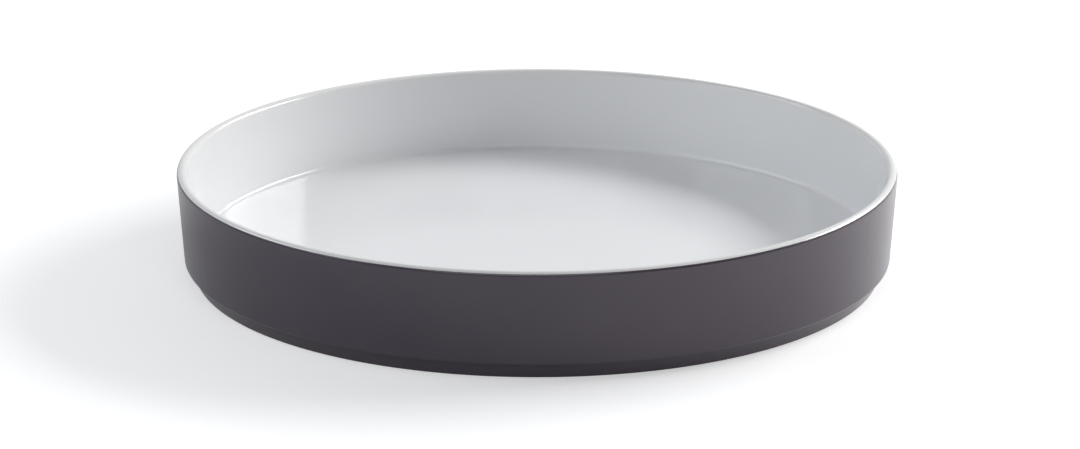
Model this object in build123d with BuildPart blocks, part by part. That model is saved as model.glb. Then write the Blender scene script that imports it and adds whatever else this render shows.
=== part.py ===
"""Low round serving dish in glazed stoneware: white inside, dark outside.

The dish is one thrown or pressed clay body on an inset foot ring, with three skins of
glaze fired onto it: a glossy white one inside and over the rim, a dark satin one down the
outer wall, and the same dark glaze on the recessed underside. The foot's standing face is
wiped bare. Everything is a solid of revolution about Z, and the dish stands on z = 0.

Half sections are drawn on the XZ plane, radius to the right and height up, in millimetres.
"""

from build123d import *
from math import cos, radians, tan
import os

os.makedirs("parts", exist_ok=True)

# Driving dimensions, in millimetres and degrees, of the finished, glazed dish
RIM_DIAMETER = 320.0
HEIGHT = 47.8
WALL = 4.4  # thickness measured level, glaze on both sides included
WALL_FLARE = 3.7  # lean of both wall faces from upright, wider at the rim
FLOOR_TOP = 9.6  # height of the food surface above the table
FLOOR_FILLET = 2.0  # sweep from the floor up into the wall
RIM_ROUND = 2.15  # nearly half the wall, so that the rim is round all over
GLAZE_LINE = 0.85  # how far below the crest the white gives way to the dark

FOOT_HEIGHT = 6.8
FOOT_DIAMETER_TOP = 310.8
FOOT_DIAMETER_BASE = 305.2
FOOT_INNER_DIAMETER = 294.0  # of the recess mouth, inside the ring
SHOULDER_ROUND = 1.2  # where the outer wall turns in above the foot
RECESS_DEPTH = 5.0
RECESS_FILLET = 2.0
RECESS_FLARE = 10.0
BARE_FOOT = 0.3  # how far above the table the glaze is wiped away
FOOT_EDGE_ROUND = 0.7

GLAZE = 0.4  # thickness of every glaze skin

# The clay lies one glaze thickness inside every finished face
flare = tan(radians(WALL_FLARE))
level_glaze = GLAZE / cos(radians(WALL_FLARE))  # the wall's glaze, measured level
clay_top = HEIGHT - GLAZE
clay_floor = FLOOR_TOP - GLAZE
clay_shoulder = FOOT_HEIGHT + GLAZE
clay_recess = RECESS_DEPTH + GLAZE


def wall_outside(z):
    """Radius of the clay's outer wall at height z."""
    return RIM_DIAMETER / 2 - (HEIGHT - z) * flare - level_glaze


def wall_inside(z):
    """Radius of the clay's inner wall at height z."""
    return RIM_DIAMETER / 2 - (HEIGHT - z) * flare - WALL + level_glaze


foot_slope = (FOOT_DIAMETER_TOP - FOOT_DIAMETER_BASE) / 2 / FOOT_HEIGHT
foot_skin = GLAZE * (1 + foot_slope**2) ** 0.5  # the foot's glaze, measured level


def foot_outside(z):
    """Radius of the clay foot's outer face at height z."""
    return FOOT_DIAMETER_BASE / 2 + foot_slope * z - foot_skin


recess_slope = tan(radians(RECESS_FLARE))
recess_skin = GLAZE / cos(radians(RECESS_FLARE))


def foot_inside(z):
    """Radius of the clay foot's inner face at height z."""
    return FOOT_INNER_DIAMETER / 2 - recess_slope * z + recess_skin


# Section of the clay, with the radius of each corner's rounding beside the corner
clay_corners = [
    ((0, clay_floor), 0),
    ((wall_inside(clay_floor), clay_floor), FLOOR_FILLET + GLAZE),
    ((wall_inside(clay_top), clay_top), RIM_ROUND - GLAZE),
    ((wall_outside(clay_top), clay_top), RIM_ROUND - GLAZE),
    ((wall_outside(clay_shoulder), clay_shoulder), SHOULDER_ROUND - GLAZE),
    ((foot_outside(clay_shoulder), clay_shoulder), 0),
    ((foot_outside(0), 0), FOOT_EDGE_ROUND),
    ((foot_inside(0), 0), FOOT_EDGE_ROUND),
    ((foot_inside(clay_recess), clay_recess), RECESS_FILLET + GLAZE),
    ((0, clay_recess), 0),
]

with BuildSketch(Plane.XZ) as clay_section:
    with BuildLine():
        FilletPolyline(
            [corner for corner, _ in clay_corners],
            radius=[rounding for _, rounding in clay_corners],
            close=True,
        )
    make_face()

with BuildPart() as stoneware_body:
    add(clay_section.sketch)
    revolve(axis=Axis.Z)

# The glaze is an even skin round that section. Three zones share it out, and they meet
# along lines that run inside the clay: down the wall, out under the floor, down the foot.
with BuildSketch(Plane.XZ) as glaze_section:
    add(clay_section.sketch)
    offset(amount=GLAZE, kind=Kind.ARC)
    add(clay_section.sketch, mode=Mode.SUBTRACT)


def wall_middle(z):
    """The point in the thick of the wall at height z."""
    return ((wall_inside(z) + wall_outside(z)) / 2, z)


foot_middle = (foot_inside(BARE_FOOT) + foot_outside(BARE_FOOT)) / 2
floor_middle = (FLOOR_TOP + RECESS_DEPTH) / 2
glaze_line = HEIGHT - GLAZE_LINE
clear_radius = RIM_DIAMETER / 2 + 1  # just outside the rim
clear_height = HEIGHT + 1  # just above the crest

rim_seam = wall_middle(glaze_line)
wall_seam = wall_middle(clay_shoulder + SHOULDER_ROUND)
floor_seam = (foot_middle, floor_middle)
foot_seam = (foot_middle, BARE_FOOT)
centre_seam = (0, floor_middle)


def glaze_within(zone):
    """The part of the glaze section that lies inside a closed outline of corners."""
    with BuildSketch(Plane.XZ) as share:
        add(glaze_section.sketch)
        with BuildLine():
            Polyline(zone, close=True)
        make_face(mode=Mode.INTERSECT)
    return share.sketch


inside_zone = [
    centre_seam,
    floor_seam,
    wall_seam,
    rim_seam,
    (clear_radius, glaze_line),
    (clear_radius, clear_height),
    (0, clear_height),
]
outside_zone = [
    rim_seam,
    wall_seam,
    floor_seam,
    foot_seam,
    (clear_radius, BARE_FOOT),
    (clear_radius, glaze_line),
]
underside_zone = [
    centre_seam,
    floor_seam,
    foot_seam,
    (0, BARE_FOOT),
]

# Glossy white glaze: floor, inner wall and rim, ending partway over the rim's round
with BuildPart() as white_glaze_lining:
    add(glaze_within(inside_zone))
    revolve(axis=Axis.Z)

# Dark satin glaze: outer wall, shoulder and foot, down to the wiped band
with BuildPart() as dark_glaze_coat:
    add(glaze_within(outside_zone))
    revolve(axis=Axis.Z)

# The same dark glaze on the recessed underside and the foot ring's inner face
with BuildPart() as underside_glaze:
    add(glaze_within(underside_zone))
    revolve(axis=Axis.Z)

stoneware_body.part.label = "stoneware_body"
export_step(stoneware_body.part, "parts/stoneware_body.step")

white_glaze_lining.part.label = "white_glaze_lining"
export_step(white_glaze_lining.part, "parts/white_glaze_lining.step")

dark_glaze_coat.part.label = "dark_glaze_coat"
export_step(dark_glaze_coat.part, "parts/dark_glaze_coat.step")

underside_glaze.part.label = "underside_glaze"
export_step(underside_glaze.part, "parts/underside_glaze.step")
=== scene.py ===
from math import cos, radians, sin, tan

import bpy
import numpy as np
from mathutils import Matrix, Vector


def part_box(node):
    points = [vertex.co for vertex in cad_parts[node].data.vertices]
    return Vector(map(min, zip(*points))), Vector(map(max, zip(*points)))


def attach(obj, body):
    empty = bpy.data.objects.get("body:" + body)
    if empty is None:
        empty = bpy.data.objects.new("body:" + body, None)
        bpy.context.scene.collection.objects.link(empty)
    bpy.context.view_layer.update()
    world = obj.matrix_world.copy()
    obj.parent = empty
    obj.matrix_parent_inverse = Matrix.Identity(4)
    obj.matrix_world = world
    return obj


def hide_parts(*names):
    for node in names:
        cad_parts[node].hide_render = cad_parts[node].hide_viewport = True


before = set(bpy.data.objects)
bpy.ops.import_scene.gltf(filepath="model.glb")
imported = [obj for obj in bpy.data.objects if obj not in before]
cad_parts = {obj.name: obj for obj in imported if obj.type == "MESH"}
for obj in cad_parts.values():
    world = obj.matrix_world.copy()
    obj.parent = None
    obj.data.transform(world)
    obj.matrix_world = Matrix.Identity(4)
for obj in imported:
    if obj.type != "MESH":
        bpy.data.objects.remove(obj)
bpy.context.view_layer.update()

# -----------------------------------------------------------------------------------------
# Clay body
# One piece of fired stoneware: floor, wall and a low foot ring, turned as one. Glaze covers
# it all but the standing face of the foot, which is wiped bare before the firing.
# -----------------------------------------------------------------------------------------

RIM_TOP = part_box("white_glaze_lining")[1].z
GLAZE = RIM_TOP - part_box("stoneware_body")[1].z
FLOOR_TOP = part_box("white_glaze_lining")[0].z + GLAZE
RECESS_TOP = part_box("underside_glaze")[1].z - GLAZE
RIM_RADIUS = 0.160
RIM_ROUND = 0.00215
WALL = 0.0044
WALL_FLARE = radians(3.7)
FLOOR_FILLET = 0.0020
SHOULDER = 0.0068
SHOULDER_ROUND = 0.0012
SHOULDER_COVE = 0.0004
FOOT_TOP_RADIUS = 0.1554
FOOT_BASE_RADIUS = 0.1526
FOOT_EDGE_ROUND = 0.0007
RECESS_MOUTH_RADIUS = 0.1470
RECESS_FLARE = radians(10)
RECESS_FILLET = 0.0020
SAND_DARK = (0.50, 0.39, 0.28, 1)
SAND_LIGHT = (0.56, 0.45, 0.33, 1)
SPECK = (0.22, 0.15, 0.10, 1)

LEG_STEPS = 10
ARC_STEPS = 12
TURN_STEPS = 360
CREASE = radians(50)


def wall_outside(z):
    """Radius of the outer wall: the rim's, less the flare's slope times the depth below it."""
    return RIM_RADIUS - (RIM_TOP - z) * tan(WALL_FLARE)


def wall_inside(z):
    """Radius of the inner wall: one wall thickness inside the outer one."""
    return wall_outside(z) - WALL


def foot_outside(z):
    """Radius of the foot's outer face: a straight line from its base up to its top."""
    return FOOT_BASE_RADIUS + (FOOT_TOP_RADIUS - FOOT_BASE_RADIUS) * z / SHOULDER


def foot_inside(z):
    """Radius of the foot's inner face, which narrows upwards by the recess's flare."""
    return RECESS_MOUTH_RADIUS - z * tan(RECESS_FLARE)


def rounded(*corners):
    """An outline through corners (r, z, rounding): straight legs, and at each corner an arc
    that is tangent to both legs. A leg's points lie at half a cosine, so that they crowd
    towards its ends; an arc's points turn about its centre in equal steps."""
    at = np.array([corner[:2] for corner in corners])
    ease = (1 - np.cos(np.linspace(0, np.pi, LEG_STEPS + 1)))[:, None] / 2
    share = np.linspace(0, 1, ARC_STEPS + 1)[1:-1, None]
    line, leg_start = [], at[0]
    for before, here, after, corner in zip(at, at[1:], at[2:], corners[1:]):
        back = (before - here) / np.linalg.norm(before - here)
        ahead = (after - here) / np.linalg.norm(after - here)
        half = np.arccos(back @ ahead) / 2
        turn = np.pi - 2 * half
        leg_end = here + back * corner[2] / tan(half)
        next_start = here + ahead * corner[2] / tan(half)
        centre = here + (back + ahead) / np.linalg.norm(back + ahead) * corner[2] / sin(half)
        first_spoke, last_spoke = leg_end - centre, next_start - centre
        arc = np.sin((1 - share) * turn) * first_spoke + np.sin(share * turn) * last_spoke
        line += [leg_start + (leg_end - leg_start) * ease, centre + arc / sin(turn)]
        leg_start = next_start
    line = np.concatenate(line + [leg_start + (at[-1] - leg_start) * ease])
    repeats = np.linalg.norm(np.diff(line, axis=0), axis=1) < 1e-8
    return line[np.append(True, ~repeats)]


def turned(name, section):
    """A solid turned on the Z axis: the section's point (r, z) stands at every angle a as
    (r cos a, r sin a, z). The section has the solid on its left, and is either a loop or a
    line from the axis back to the axis, whose two ends are poles."""
    angle = np.arange(TURN_STEPS) * 2 * np.pi / TURN_STEPS
    r, a = np.meshgrid(section[:, 0], angle, indexing="ij")
    z = np.meshgrid(section[:, 1], angle, indexing="ij")[0]
    points = np.stack([r * np.cos(a), r * np.sin(a), z], axis=2)

    pole = section[:, 0] < 1e-9
    ring_size = np.where(pole, 1, TURN_STEPS)
    spot = np.arange(TURN_STEPS)
    number = (np.cumsum(ring_size) - ring_size)[:, None] + np.where(pole[:, None], 0, spot)
    if not pole.any():
        number = np.vstack([number, number[:1]])
        pole = np.append(pole, False)
    here, above = number[:-1], number[1:]
    quads = np.stack([here, np.roll(here, -1, axis=1), np.roll(above, -1, axis=1), above], axis=2)
    faces = quads[~pole[:-1] & ~pole[1:]].reshape(-1, 4).tolist()
    faces += quads[pole[:-1] & ~pole[1:]][..., [0, 2, 3]].reshape(-1, 3).tolist()
    faces += quads[~pole[:-1] & pole[1:]][..., [0, 1, 2]].reshape(-1, 3).tolist()

    mesh = bpy.data.meshes.new(name)
    mesh.from_pydata(points[spot < ring_size[:, None]].tolist(), [], faces)
    mesh.polygons.foreach_set("use_smooth", np.ones(len(faces), bool))
    mesh.set_sharp_from_angle(angle=CREASE)
    mesh.update()
    piece = bpy.data.objects.new(name, mesh)
    bpy.context.scene.collection.objects.link(piece)
    return piece


class Value:
    """An output socket. Sums and products of Values and numbers add their Math nodes."""

    def __init__(self, tree, socket=None):
        self.tree = tree
        self.socket = socket

    def node(self, kind, settings, inputs, output=0):
        """Adds a node: settings first, then each input filled in or linked. Gives one output."""
        made = self.tree.nodes.new("ShaderNode" + kind)
        for key, value in settings.items():
            setattr(made, key, value)
        for key, value in inputs.items():
            if isinstance(value, Value):
                self.tree.links.new(value.socket, made.inputs[key])
            else:
                made.inputs[key].default_value = value
        return Value(self.tree, made.outputs[output])

    def __add__(self, other):
        return self.node("Math", {"operation": "ADD"}, {0: self, 1: other})

    def __mul__(self, other):
        return self.node("Math", {"operation": "MULTIPLY"}, {0: self, 1: other})

    __radd__ = __add__
    __rmul__ = __mul__

    def rise(self, low, high):
        """0 up to low, 1 from high, and an S-curve between."""
        return self.node("MapRange", {"interpolation_type": "SMOOTHSTEP"}, {0: self, 1: low, 2: high})

    def blend(self, plain, full):
        """A colour: plain where this value is 0, full where it is 1."""
        return self.node("Mix", {"data_type": "RGBA"}, {0: self, 6: plain, 7: full}, 2)

    def noise(self, size, detail=2.0):
        """Soft blotches about size metres across, over this position."""
        return self.node("TexNoise", {}, {"Vector": self, "Scale": 1 / size, "Detail": detail})

    def relief(self, depth):
        """Normals for this height, where 1 stands for depth metres."""
        return self.node("Bump", {}, {"Height": self, "Distance": depth})


def finish(piece, name, make):
    """Gives a piece a new material. make turns its position and its height into a dict of
    the shader's inputs, some of them numbers or colours and some of them Values."""
    material = bpy.data.materials.new(name)
    material.use_nodes = True
    tree = material.node_tree
    position = Value(tree).node("TexCoord", {}, {}, "Object")
    height = position.node("SeparateXYZ", {}, {0: position}, "Z")
    shader = tree.nodes["Principled BSDF"]
    for key, value in make(position, height).items():
        if isinstance(value, Value):
            tree.links.new(value.socket, shader.inputs[key])
        else:
            shader.inputs[key].default_value = value
    piece.data.materials.append(material)


level_glaze = GLAZE / cos(WALL_FLARE)
clay_recess = RECESS_TOP + GLAZE
clay_shoulder = SHOULDER + GLAZE
clay_rim = RIM_TOP - GLAZE
clay_floor = FLOOR_TOP - GLAZE
clay = turned("clay_body", rounded(
    (0, clay_recess, 0),
    (foot_inside(clay_recess) + level_glaze, clay_recess, RECESS_FILLET + GLAZE),
    (foot_inside(0) + level_glaze, 0, FOOT_EDGE_ROUND),
    (foot_outside(0) - level_glaze, 0, FOOT_EDGE_ROUND),
    (foot_outside(clay_shoulder) - level_glaze, clay_shoulder, SHOULDER_COVE + GLAZE),
    (wall_outside(clay_shoulder) - level_glaze, clay_shoulder, SHOULDER_ROUND - GLAZE),
    (wall_outside(clay_rim) - level_glaze, clay_rim, RIM_ROUND - GLAZE),
    (wall_inside(clay_rim) + level_glaze, clay_rim, RIM_ROUND - GLAZE),
    (wall_inside(clay_floor) + level_glaze, clay_floor, FLOOR_FILLET + GLAZE),
    (0, clay_floor, 0),
))


def bare_clay(position, height):
    grit = position.noise(0.0007, 4.0)
    specks = position.noise(0.0016).rise(0.66, 0.72)
    sand = position.noise(0.020).blend(SAND_DARK, SAND_LIGHT)
    return {
        "Base Color": (specks * 0.6).blend(sand, SPECK),
        "Roughness": 0.92,
        "Normal": grit.relief(0.00012),
    }


finish(clay, "bare clay", bare_clay)
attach(clay, "root")
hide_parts("stoneware_body")

# -----------------------------------------------------------------------------------------
# White glaze
# A glossy, faintly cool white glass, poured into the dish and drawn over the crest of the
# rim. It thins on the crest, where the warm clay starts to show through it.
# -----------------------------------------------------------------------------------------

GLAZE_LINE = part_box("dark_glaze_coat")[1].z
FOOT_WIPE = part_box("dark_glaze_coat")[0].z
THIN_BAND = 0.0045
MILK_DARK = (0.808, 0.816, 0.823, 1)
MILK_LIGHT = (0.838, 0.846, 0.853, 1)
THIN_MILK = (0.84, 0.83, 0.81, 1)


def split(face, z):
    """A face's two parts, cut where it first passes the height z."""
    after = 1 + np.argmax((face[1:, 1] - z) * (face[0, 1] - z) < 0)
    share = (z - face[after - 1, 1]) / (face[after, 1] - face[after - 1, 1])
    point = face[after - 1] + share * (face[after] - face[after - 1])
    return np.vstack([face[:after], point]), np.vstack([point, face[after:]])


def skin(face):
    """A glaze's section: the finished face, and a second one that lies one glaze deeper, at
    each point along its normal. Ends off the axis are cut square."""
    along = np.gradient(face, axis=0)
    along /= np.linalg.norm(along, axis=1)[:, None]
    deep = face + GLAZE * along[:, ::-1] * (-1, 1)
    on_axis = face[:, 0] < 1e-9
    deep[on_axis, 0] = 0
    return np.concatenate([deep[::-1], face] if on_axis[-1] else [face, deep[::-1]])


# The finished face from under the foot's edge up the wall, over the rim and in to the centre
foot_middle = (foot_inside(0) + foot_outside(0)) / 2
glazed_face = rounded(
    (foot_middle, -GLAZE, 0),
    (foot_outside(-GLAZE), -GLAZE, FOOT_EDGE_ROUND + GLAZE),
    (foot_outside(SHOULDER), SHOULDER, SHOULDER_COVE),
    (wall_outside(SHOULDER), SHOULDER, SHOULDER_ROUND),
    (wall_outside(RIM_TOP), RIM_TOP, RIM_ROUND),
    (wall_inside(RIM_TOP), RIM_TOP, RIM_ROUND),
    (wall_inside(FLOOR_TOP), FLOOR_TOP, FLOOR_FILLET),
    (0, FLOOR_TOP, 0),
)
dark_face, white_face = split(split(glazed_face, FOOT_WIPE)[1], GLAZE_LINE)
white = turned("white_glaze", skin(white_face))


def white_glaze(position, height):
    cloud = position.noise(0.045, 3.0)
    milk = cloud.blend(MILK_DARK, MILK_LIGHT)
    thin = height.rise(RIM_TOP - THIN_BAND, RIM_TOP)
    return {
        "Base Color": (thin * 0.8).blend(milk, THIN_MILK),
        "Roughness": 0.09 + 0.04 * cloud,
        "IOR": 1.5,
        "Normal": position.noise(0.0055).relief(0.000006),
    }


finish(white, "white glaze", white_glaze)
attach(white, "root")
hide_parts("white_glaze_lining")

# -----------------------------------------------------------------------------------------
# Dark glaze
# A satin glaze, dark grey with a plum cast, sprayed on the outer wall up to the white and
# down over the foot, to where the standing face is wiped. Its face is finely grained.
# -----------------------------------------------------------------------------------------

PLUM_DARK = (0.071, 0.057, 0.075, 1)
PLUM_LIGHT = (0.083, 0.068, 0.086, 1)

dark = turned("dark_glaze", skin(dark_face))


def dark_glaze(position, height):
    cloud = position.noise(0.030, 3.0)
    grain = position.noise(0.00045, 3.0)
    return {
        "Base Color": cloud.blend(PLUM_DARK, PLUM_LIGHT),
        "Roughness": 0.18 + 0.06 * grain,
        "IOR": 1.5,
        "Normal": grain.relief(0.000010),
    }


finish(dark, "dark glaze", dark_glaze)
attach(dark, "root")
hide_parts("dark_glaze_coat")

# -----------------------------------------------------------------------------------------
# Underside glaze
# The same dark glaze, sprayed into the recess inside the foot ring. It runs round the
# fillet and ends where the standing face is wiped.
# -----------------------------------------------------------------------------------------

under_face = split(rounded(
    (0, RECESS_TOP, 0),
    (foot_inside(RECESS_TOP), RECESS_TOP, RECESS_FILLET),
    (foot_inside(-GLAZE), -GLAZE, FOOT_EDGE_ROUND + GLAZE),
    (foot_middle, -GLAZE, 0),
), FOOT_WIPE)[0]
under = turned("underside_glaze_skin", skin(under_face))
finish(under, "underside glaze", dark_glaze)
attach(under, "root")
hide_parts("underside_glaze")

# -----------------------------------------------------------------------------------------
# Studio
# A wide, pale table whose right-hand half glows brighter: a painted pool of light, and that
# glow also lights the dish. A large softbox to the right and behind, two weak fills to the
# left and in front, and a pale backdrop.
# -----------------------------------------------------------------------------------------

TABLE_SIZE = 8.0
TABLE_GLOW = 0.4
# Painted light: the table's right-hand half glows brighter, standing in for the key falling on it.
PAINTED_RIGHT_GLOW = 0.9  # as a share of the table's glow
PAINTED_GLOW_START, PAINTED_GLOW_FULL = -0.05, 0.25
LAMP_DISTANCE = 1.6
DAYLIGHT = (1.00, 1.00, 1.00)
SKYLIGHT = (0.94, 0.96, 1.00)

table_mesh = bpy.data.meshes.new("table")
table_edge = TABLE_SIZE / 2 * np.array([(-1, -1, 0), (1, -1, 0), (1, 1, 0), (-1, 1, 0)])
table_mesh.from_pydata(table_edge.tolist(), [], [(0, 1, 2, 3)])
table = bpy.data.objects.new("table", table_mesh)
bpy.context.scene.collection.objects.link(table)


def glowing_table(position, height):
    """The even glow is for the eye only. The right-hand half glows brighter, a painted pool of light,
    and that glow lights the dish.
    """
    seen = position.node("LightPath", {}, {}, "Is Camera Ray")
    rightwards = position.node("SeparateXYZ", {}, {0: position}, "X")
    glow = seen + PAINTED_RIGHT_GLOW * rightwards.rise(PAINTED_GLOW_START, PAINTED_GLOW_FULL)
    return {
        "Base Color": (0.80, 0.80, 0.80, 1),
        "Roughness": 0.8,
        "Specular IOR Level": 0.1,
        "Emission Color": glow.blend((0, 0, 0, 1), (1, 1, 1, 1)),
        "Emission Strength": TABLE_GLOW,
    }


finish(table, "table", glowing_table)


def softbox(name, azimuth, elevation, wide, tall, glow, tint):
    """A flat lamp that faces the dish from that azimuth and elevation, and looks wide and
    tall degrees across from there. glow is its brightness, so its power is pi glow area."""
    lamp = bpy.data.lights.new(name, "AREA")
    lamp.shape = "RECTANGLE"
    lamp.size = 2 * LAMP_DISTANCE * tan(radians(wide / 2))
    lamp.size_y = 2 * LAMP_DISTANCE * tan(radians(tall / 2))
    lamp.energy = np.pi * glow * lamp.size * lamp.size_y
    lamp.color = tint
    light = bpy.data.objects.new(name, lamp)
    level = LAMP_DISTANCE * cos(radians(elevation))
    light.location = (
        level * cos(radians(azimuth)),
        level * sin(radians(azimuth)),
        LAMP_DISTANCE * sin(radians(elevation)),
    )
    light.rotation_euler = (radians(90 - elevation), 0, radians(azimuth + 90))
    bpy.context.scene.collection.objects.link(light)


softbox("key", azimuth=28, elevation=29, wide=43, tall=14, glow=17.1, tint=DAYLIGHT)
softbox("left_fill", azimuth=182, elevation=35, wide=50, tall=23, glow=3.1, tint=SKYLIGHT)
softbox("front_fill", azimuth=265, elevation=35, wide=50, tall=23, glow=2.3, tint=SKYLIGHT)

BACKDROP_COLOUR = (0.96, 0.98, 1.00, 1)
BACKDROP_GLOW = 0.70
BACKDROP_START, BACKDROP_FULL = 0.1, 0.8  # how far a direction points to the back

world = bpy.data.worlds.new("room")
world.use_nodes = True
bpy.context.scene.world = world
direction = Value(world.node_tree).node("TexCoord", {}, {}, "Generated")
backwards = direction.node("SeparateXYZ", {}, {0: direction}, "Y")
backdrop = BACKDROP_GLOW * backwards.rise(BACKDROP_START, BACKDROP_FULL)
background = world.node_tree.nodes["Background"]
background.inputs["Color"].default_value = BACKDROP_COLOUR
world.node_tree.links.new(backdrop.socket, background.inputs["Strength"])

lens = bpy.data.cameras.new("camera")
lens.lens = 130
lens.sensor_width = 36
camera = bpy.data.objects.new("camera", lens)
camera.location = (0.00125, -1.6645, 0.5393)
camera.rotation_euler = (radians(72.62), 0, 0)
bpy.context.scene.collection.objects.link(camera)
bpy.context.scene.camera = camera
bpy.context.scene.view_settings.view_transform = "Standard"
